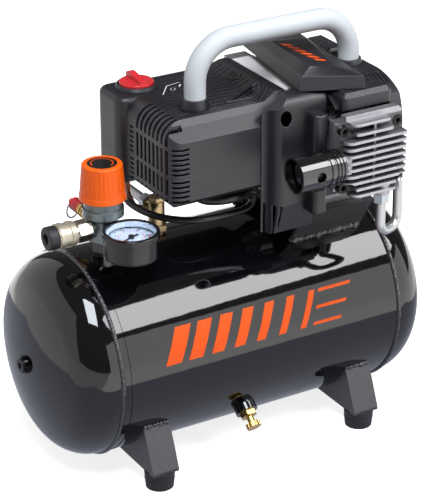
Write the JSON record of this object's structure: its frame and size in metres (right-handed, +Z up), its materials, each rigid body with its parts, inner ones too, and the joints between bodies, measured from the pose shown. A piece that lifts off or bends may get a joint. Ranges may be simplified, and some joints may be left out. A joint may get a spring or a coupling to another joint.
{
  "type": "portable air compressor",
  "caption": "Portable oil-free piston air compressor on a horizontal tank with rubber feet, moulded covers, tube handle, gauge, regulator and quick coupler.",
  "frame": {"origin": "on the floor, midway between the four foot bolt holes, under the tank's axis", "axes": "+X along the tank from the coupler end to the pump end, +Y from the cylinder head's side to the back, +Z up"},
  "size_m": [0.4175, 0.247, 0.4222],
  "materials": {
    "tank_paint": "gloss black",
    "rubber": "matt",
    "zinc": "zinc plated",
    "black_screws": "black oxide",
    "brass": "machined",
    "aluminium": "as cast and machined",
    "steel_dark": "varnished laminations and dark steel",
    "copper": "drawn copper, lacquered",
    "black_plastic": "fine texture",
    "black_gloss": "smooth",
    "grey_paint": "satin",
    "red_plastic": "smooth",
    "orange_plastic": "smooth",
    "nickel": "satin nickel plate",
    "white_dial": "matt white",
    "clear_window": "clear",
    "needle_black": "matt"
  },
  "bodies": {
    "frame": {"tank_shell": "tank_paint", "tank_head_left": "tank_paint", "tank_head_right": "tank_paint", "weld_beads": "tank_paint", "head_plug": "black_screws", "foot_brackets": "tank_paint", "rubber_feet": "rubber", "pump_saddle": "tank_paint", "fixing_screws": "zinc", "drain_boss": "tank_paint", "drain_valve": "brass", "check_valve": "brass", "delivery_tube": "aluminium", "delivery_nuts": "brass", "unloader_tube": "copper", "crankcase": "aluminium", "motor_sleeve": "aluminium", "bearings": "zinc", "stator": "steel_dark", "windings": "copper", "piston": "aluminium", "cylinder": "aluminium", "valve_plate": "aluminium", "cylinder_head": "aluminium", "head_screws": "black_screws", "intake_filter": "black_gloss", "filter_core": "black_plastic", "cover_upper": "black_plastic", "cover_lower": "black_plastic", "pump_cover": "black_plastic", "side_cover": "black_plastic", "roof_hood": "black_plastic", "handle": "grey_paint", "handle_collars": "black_plastic", "pressure_switch": "black_plastic", "knob_collar": "black_plastic", "cord_gland": "black_plastic", "link_lead": "rubber", "outlet_nipple": "tank_paint", "regulator_body": "nickel", "gauge_case": "steel_dark", "gauge_bezel": "steel_dark", "gauge_dial": "white_dial", "gauge_glass": "clear_window", "coupler_body": "nickel", "coupler_nose": "rubber", "safety_body": "brass"},
    "rotor": {"rotor_core": "steel_dark", "motor_shaft": "zinc", "fan": "black_plastic", "eccentric": "steel_dark"},
    "rod": {"connecting_rod": "aluminium"},
    "switch": {"switch_knob": "red_plastic"},
    "regulator_adjuster": {"regulator_knob": "orange_plastic", "regulator_cap": "black_gloss"},
    "needle": {"gauge_needle": "needle_black"},
    "sleeve": {"coupler_sleeve": "nickel"},
    "vent_cap": {"safety_cap": "red_plastic"},
    "pull_ring": {"safety_ring": "zinc"},
    "drain_knob": {"drain_screw": "brass"}
  },
  "joints": [
    {"name": "shaft_spin", "type": "hinge", "parent": "frame", "child": "rotor", "pos_m": [0, -0.03, 0.305], "axis": [1, 0, 0], "continuous": true},
    {"name": "rod_turn", "type": "hinge", "parent": "rotor", "child": "rod", "pos_m": [0.098, -0.042, 0.305], "axis": [1, 0, 0], "continuous": true},
    {"name": "switch_turn", "type": "hinge", "parent": "frame", "child": "switch", "pos_m": [-0.06, 0.04, 0.352], "axis": [0, 0, 1], "range_deg": [0, 90]},
    {"name": "regulator_turn", "type": "hinge", "parent": "frame", "child": "regulator_adjuster", "pos_m": [-0.1285, -0.018, 0.2738], "axis": [0, 0, 1], "range_deg": [-170, 170]},
    {"name": "needle_turn", "type": "hinge", "parent": "frame", "child": "needle", "pos_m": [-0.122, -0.06, 0.2464], "axis": [0, 0, -1], "range_deg": [0, 270], "stiffness_Nm_per_rad": 0.0001},
    {"name": "sleeve_slide", "type": "slide", "parent": "frame", "child": "sleeve", "axis": [1, 0, 0], "range_m": [0, 0.0025], "stiffness_N_per_m": 1500, "springref_m": -0.003},
    {"name": "vent_pull", "type": "slide", "parent": "frame", "child": "vent_cap", "axis": [0, 1, 0], "range_m": [0, 0.002], "stiffness_N_per_m": 2000, "springref_m": -0.003},
    {"name": "ring_swing", "type": "hinge", "parent": "vent_cap", "child": "pull_ring", "pos_m": [-0.1285, 0.045, 0.245], "axis": [0.9397, 0.342, 0], "range_deg": [-12, 70]},
    {"name": "drain_turn", "type": "hinge", "parent": "frame", "child": "drain_knob", "pos_m": [-0.012, -0.0788, 0.05043], "axis": [0, -0.788, -0.6157], "range_deg": [0, 340]}
  ],
  "couplings": [
    {"joint": "rod_turn", "follows": "shaft_spin", "ratio": -1}
  ]
}
